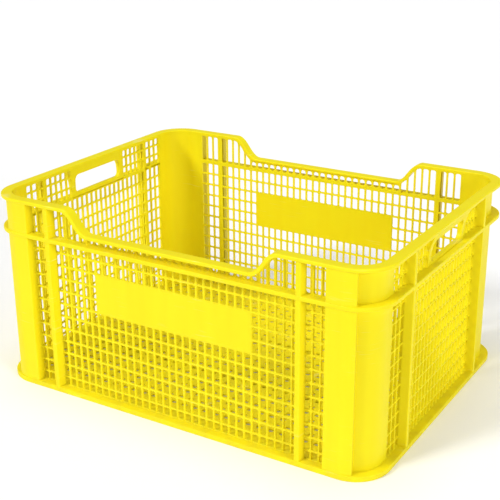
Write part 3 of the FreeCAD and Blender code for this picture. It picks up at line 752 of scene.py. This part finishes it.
# ---------------------------------------------------------------- label plates
# Blank plates in the mesh of the two long sides, where a label is stuck. They are part of the
# same polyethylene skin, flat, and flush with it outside and inside.
plate_plastic = yellow_plastic("plate_plastic", roughness=0.38, scuffs=0.45, low_darkening=0.05)
PLATE_LOW, PLATE_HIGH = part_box("front_label_plate")
PLATE_GRID = (22, 4)


def plate_surface(half, low, high, front, back):
    """A flat plate between two heights: a grid in front and one behind, joined at the rim."""
    across, up = np.meshgrid(np.linspace(-half, half, PLATE_GRID[0]), np.linspace(low, high, PLATE_GRID[1]))
    face = np.stack([across, up, np.full_like(across, front)], axis=-1)
    rear = np.stack([across, up, np.full_like(across, back)], axis=-1)
    edge_front = np.concatenate([face[0, :-1], face[:-1, -1], face[-1, :0:-1], face[:0:-1, 0]])
    edge_rear = np.concatenate([rear[0, :-1], rear[:-1, -1], rear[-1, :0:-1], rear[:0:-1, 0]])
    return [patch(face[::-1]), patch(rear), patch(np.stack([edge_front, edge_rear]), closed=True)]


front_plate = laid(plate_surface(PLATE_HIGH.x, PLATE_LOW.z, PLATE_HIGH.z, SKIN_OUT, SKIN_IN), front_wall)
moulded("front_blank_plate", front_plate, plate_plastic, ["front_label_plate"])
moulded("back_blank_plate", half_turn(front_plate), plate_plastic, ["back_label_plate"])

# ---------------------------------------------------------------- corners
# The four blank corner walls: the polyethylene skin carried round a quarter circle, smooth
# inside, from the long side's mesh to the end's mesh.
corner_plastic = yellow_plastic("corner_plastic", roughness=0.4, scuffs=0.22, low_darkening=0.12)


def corner_stations(start, stop):
    """Stations round the front right corner, from a place along the front side to a place
    along the right end."""
    arc, out = corner_arc()
    edge = np.concatenate([[(start, -WIDTH_HALF)], arc, [(LENGTH_HALF, -stop)]])
    return edge, np.concatenate([[(0, -1)], out, [(1, 0)]])


wall_profile = np.array([(SKIN_IN, FOOT_TOP), (SKIN_OUT, FOOT_TOP), (SKIN_OUT, RIM_LOW), (SKIN_IN, RIM_LOW)])
front_right_corner = flange_sweep(corner_stations(LONG_JOINT, END_JOINT), wall_profile)
for end, patches in zip(LONG_CORNERS, four_ways(front_right_corner)):
    moulded(end + "_corner_wall", patches, corner_plastic, [end + "_corner"])

# ---------------------------------------------------------------- columns
# Hollow polyethylene boxes on the long sides of each corner, just behind the rim's edge, which
# carry the stack. They wrap a little way round the corner and end in a sharp step to the skin.
COLUMN_SET_BACK = 0.0010
COLUMN_END_SET_BACK = 0.0024
COLUMN_ARC = math.radians(23)
COLUMN_EDGE = 0.0014
COLUMN_STEPS = 8
SKIN_LAP = 0.001       # how far a piece on the outside reaches into the skin


def column_plan():
    """The column seen from above: from the skin out along its inner side, along the wall and
    round the arc a little further in, and back to the skin, its two outer edges rounded."""
    angles = np.radians(-90) + np.linspace(0, COLUMN_ARC, COLUMN_STEPS)
    back = np.linspace(COLUMN_SET_BACK, COLUMN_END_SET_BACK, COLUMN_STEPS)[:, None]
    arc = BEND_CENTRE + (CORNER_RADIUS - back) * np.stack([np.cos(angles), np.sin(angles)], axis=1)
    way = np.array([math.cos(angles[-1]), math.sin(angles[-1])])
    skin_end = BEND_CENTRE + (CORNER_RADIUS + SKIN_OUT - SKIN_LAP) * way
    corners = [(LONG_MESH_END, -WIDTH_HALF - SKIN_OUT + SKIN_LAP),
               (LONG_MESH_END, -WIDTH_HALF + COLUMN_SET_BACK), *arc, skin_end]
    return rounded_loop(corners, [0, COLUMN_EDGE] + [0] * (COLUMN_STEPS - 1) + [COLUMN_EDGE, 0])


def upright_prism(plan, low, high):
    """A closed plan, anticlockwise from above, drawn straight up, with both ends closed."""
    heights = np.array([low, high])
    grid = np.concatenate([np.broadcast_to(plan, (2, *plan.shape)),
                           np.broadcast_to(heights[:, None, None], (2, len(plan), 1))], axis=-1)
    return [patch(grid[::-1], closed=True), lid(grid[0][::-1]), lid(grid[-1])]


front_right_column = upright_prism(column_plan(), FOOT_TOP, RIM_LOW)
for end, patches in zip(LONG_CORNERS, four_ways(front_right_column)):
    moulded(end + "_hollow_column", patches, corner_plastic, [end + "_column"])

# ---------------------------------------------------------------- ribs
# Upright polyethylene stiffeners from the foot to the rim, two on each wall, as deep as the
# flanges. The mould rounds their outer edges and leaves a small fillet at each side's foot.
rib_plastic = yellow_plastic("rib_plastic", roughness=0.42, scuffs=0.45, low_darkening=0.15)
RIB_SET_BACK = 0.0004
RIB_EDGE = 0.0012
RIB_FILLET = 0.0012
FILLET_STEPS = 3


def rib_plan(near, far):
    """The rib seen from above in wall coordinates (along, out): rounded outer edges and a
    concave fillet at each foot."""
    quarter = np.radians(np.linspace(0, 90, FILLET_STEPS + 1))
    left = np.stack([near - RIB_FILLET + RIB_FILLET * np.sin(quarter),
                     SKIN_OUT + RIB_FILLET - RIB_FILLET * np.cos(quarter)], axis=1)
    right = np.stack([far + RIB_FILLET - RIB_FILLET * np.sin(quarter),
                      SKIN_OUT + RIB_FILLET - RIB_FILLET * np.cos(quarter)], axis=1)[::-1]
    top = rounded_loop([(near, SKIN_OUT), (far, SKIN_OUT), (far, -RIB_SET_BACK), (near, -RIB_SET_BACK)],
                       [0, 0, RIB_EDGE, RIB_EDGE])[2:]
    return np.concatenate([right, top, left])


long_plan = rib_plan(RIB_NEAR, RIB_FAR)
front_plan = np.stack([long_plan[:, 0], -WIDTH_HALF - long_plan[:, 1]], axis=1)[::-1]
front_right_rib = upright_prism(front_plan, FOOT_TOP, RIM_LOW)
end_plan = rib_plan(END_RIB_NEAR, END_RIB_FAR)
back_right_plan = np.stack([LENGTH_HALF + end_plan[:, 1], end_plan[:, 0]], axis=1)[::-1]
right_back_rib = upright_prism(back_right_plan, FOOT_TOP, RIM_LOW)
for end, patches in zip(LONG_CORNERS, four_ways(front_right_rib)):
    moulded(end + "_upright_rib", patches, rib_plastic, [end + "_rib"])
for end, patches in zip(END_CORNERS, four_ways(right_back_rib)):
    moulded(end + "_upright_rib", patches, rib_plastic, [end + "_rib"])

# ---------------------------------------------------------------- band
# The flange that runs right round the outside a hand's width below the rim, moulded in one
# with the ribs in the same polyethylene and flush with them.
band_plastic = yellow_plastic("band_plastic", roughness=0.42, scuffs=0.45, low_darkening=0.1)
BAND_ROOT = SKIN_OUT - 0.0005
BAND_EDGES = (0.0012, 0.0014)   # radii below and above
band_profile = rounded_loop([(BAND_ROOT, BAND_LOW), (0, BAND_LOW), (0, BAND_TOP), (BAND_ROOT, BAND_TOP)],
                            [0, *BAND_EDGES, 0])
band_long = flange_sweep(side_stations, band_profile)
band_end = flange_sweep(end_bend(), band_profile)
moulded("band_of_front_side", band_long, band_plastic, ["front_band"])
moulded("band_of_back_side", half_turn(band_long), band_plastic, ["back_band"])
moulded("band_of_right_end", band_end, band_plastic,
        ["right_band", "front_right_corner_band", "back_right_corner_band"])
moulded("band_of_left_end", half_turn(band_end), band_plastic,
        ["left_band", "front_left_corner_band", "back_left_corner_band"])

# ---------------------------------------------------------------- hand holes
# A thick polyethylene frame in the middle of each end, moulded between the band and the rim,
# with a long rounded opening for the fingers and a cove above it for the palm.
grip_plastic = yellow_plastic("grip_plastic", roughness=0.36, scuffs=0.5, low_darkening=0.05)
GRIP_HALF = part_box("right_hand_hole_frame")[1].y
GRIP_OPENING = (0.05303, 0.236, 0.264)
GRIP_POINTS = (14, 8, 6)   # steps along, up and round each corner of the opening
GRIP_FACE_SHARES = (0.35, 0.7)
FRONT_ROLL_STEPS, BACK_ROLL_STEPS = 4, 3
GRIP_RADIUS = 0.008
GRIP_LIP = 0.003
GRIP_COVE_START = 0.240
GRIP_COVE_CURVE = 2.2
GRIP_EDGE = 0.0008
GRIP_ROLL = 0.0014
GRIP_UNDER_EDGE = 0.0003   # the cove ends this far behind the rim's edge


def grip_face(up):
    """How far out the frame's outer face stands at a height: a lip low down, then a cove that
    reaches the rim's edge."""
    climb = np.clip((up - GRIP_COVE_START) / (RIM_LOW - GRIP_COVE_START), 0, 1)
    lip = SKIN_OUT + GRIP_LIP
    return lip + (-GRIP_UNDER_EDGE - lip) * climb ** GRIP_COVE_CURVE


def opening_loop(grow):
    """The opening's outline widened by a distance, clockwise from outside: straights and
    quarter circles, always with the same count of points."""
    half, low, high = GRIP_OPENING
    steps_along, steps_up, steps_round = GRIP_POINTS
    a, c, d, r = half + grow, low - grow, high + grow, GRIP_RADIUS + grow
    bends = np.radians(np.linspace(0, 90, steps_round + 1))
    sides = []
    for middle, first, following, count in (((-a + r, d - r), 180, (a - r, d), steps_along),
                                            ((a - r, d - r), 90, (a, c + r), steps_up),
                                            ((a - r, c + r), 0, (-a + r, c), steps_along),
                                            ((-a + r, c + r), -90, (-a, d - r), steps_up)):
        turn = math.radians(first) - bends
        arc = np.array(middle) + r * np.stack([np.cos(turn), np.sin(turn)], axis=1)
        share = np.linspace(0, 1, count + 1)[1:-1, None]
        sides += [arc, arc[-1] + share * (np.array(following) - arc[-1])]
    return np.concatenate(sides)


def block_edge(shrink):
    """The block's own outline, drawn in by a distance, one point for each of the opening's."""
    half, low, high = GRIP_OPENING
    near = opening_loop(0)
    a, c, d = GRIP_HALF - shrink, BAND_TOP - SKIN_LAP, RIM_LOW
    x_share = near[:, 0] / half
    z_share = (near[:, 1] - (low + high) / 2) / ((high - low) / 2)
    wide = np.maximum(np.abs(x_share), np.abs(z_share))
    along = np.clip(x_share / wide, -1, 1) * a
    up = (c + d) / 2 + np.clip(z_share / wide, -1, 1) * (d - c) / 2
    return np.stack([along, up], axis=1)


def at_depth(plan, out):
    """A loop of (along, up) put at a distance out, one for all or one for each point."""
    return np.concatenate([plan, np.broadcast_to(out, len(plan))[:, None]], axis=1)


def grip_frame():
    """Loops of equal count, clockwise from outside: the frame's foot at the skin, its outer
    edge, the rounded edge of the opening, through it, and out over the back."""
    edge, soft = block_edge(0), block_edge(GRIP_EDGE)
    rings = [at_depth(edge, SKIN_OUT - SKIN_LAP), at_depth(edge, grip_face(edge[:, 1]) - GRIP_EDGE),
             at_depth(soft, grip_face(soft[:, 1]))]
    for share in GRIP_FACE_SHARES:
        between = soft + (opening_loop(GRIP_ROLL) - soft) * share
        rings.append(at_depth(between, grip_face(between[:, 1])))
    for turn in np.radians(np.linspace(0, 90, FRONT_ROLL_STEPS + 1)):
        plan = opening_loop(GRIP_ROLL * (1 - math.sin(turn)))
        rings.append(at_depth(plan, grip_face(plan[:, 1]) - GRIP_ROLL * (1 - math.cos(turn))))
    for turn in np.radians(np.linspace(0, 90, BACK_ROLL_STEPS + 1)):
        plan = opening_loop(GRIP_ROLL * (1 - math.cos(turn)))
        rings.append(at_depth(plan, SKIN_IN + GRIP_ROLL * (1 - math.sin(turn))))
    rings += [at_depth(edge, SKIN_IN), at_depth(edge, SKIN_OUT - SKIN_LAP)]
    return [patch(np.stack(rings), closed=True)]


right_grip = laid(grip_frame(), right_wall)
moulded("right_hand_grip", right_grip, grip_plastic, ["right_hand_hole_frame"])
moulded("left_hand_grip", half_turn(right_grip), grip_plastic, ["left_hand_hole_frame"])

# ---------------------------------------------------------------- rim
# The flange round the top, on which the next crate's foot stands, moulded in polyethylene with
# a rounded edge. On the long sides it dips so that the crate can be filled while it is stacked.
rim_plastic = yellow_plastic("rim_plastic", roughness=0.38, scuffs=0.5, low_darkening=0.04)
RIM_EDGES = (0.001, 0.0016, 0.0012)   # radii below outside, above outside and above inside
RIM_SLOPE_STEPS = 32
RIM_MIDDLE = np.linspace(-0.1, 0.1, 5)
rim_profile = rounded_loop([(-FLANGE, RIM_LOW), (0, RIM_LOW), (0, RIM_TOP), (-FLANGE, RIM_TOP)],
                           [0, *RIM_EDGES])


def dipping_rim(along, profile):
    """The rim's profile along the front side: its lower half follows the rim's lower face and
    its upper half the upper face, each point keeping its own small offset."""
    edge, way = straight_side(along)
    flat = edge[:, None] + way[:, None] * profile[None, :, :1]
    upper = profile[:, 1] > (RIM_LOW + RIM_TOP) / 2
    high = np.where(upper[None], rim_height(along)[:, None] + profile[None, :, 1] - RIM_TOP,
                    rim_height(along, under=True)[:, None] + profile[None, :, 1] - RIM_LOW)
    return swept(np.concatenate([flat, high[..., None]], axis=-1))


slope = np.linspace(DIP_LOW_FLAT - DIP_ROUND, DIP_HIGH_FLAT + DIP_ROUND + UNDER_SHIFT, RIM_SLOPE_STEPS)
rim_along = np.concatenate([[-SIDE_JOINT], -slope[::-1], RIM_MIDDLE, slope, [SIDE_JOINT]])
rim_long = dipping_rim(rim_along, rim_profile)
rim_end = flange_sweep(end_bend(), rim_profile)
moulded("rim_of_front_side", rim_long, rim_plastic, ["front_rim"])
moulded("rim_of_back_side", half_turn(rim_long), rim_plastic, ["back_rim"])
moulded("rim_of_right_end", rim_end, rim_plastic, ["right_rim"])
moulded("rim_of_left_end", half_turn(rim_end), rim_plastic, ["left_rim"])
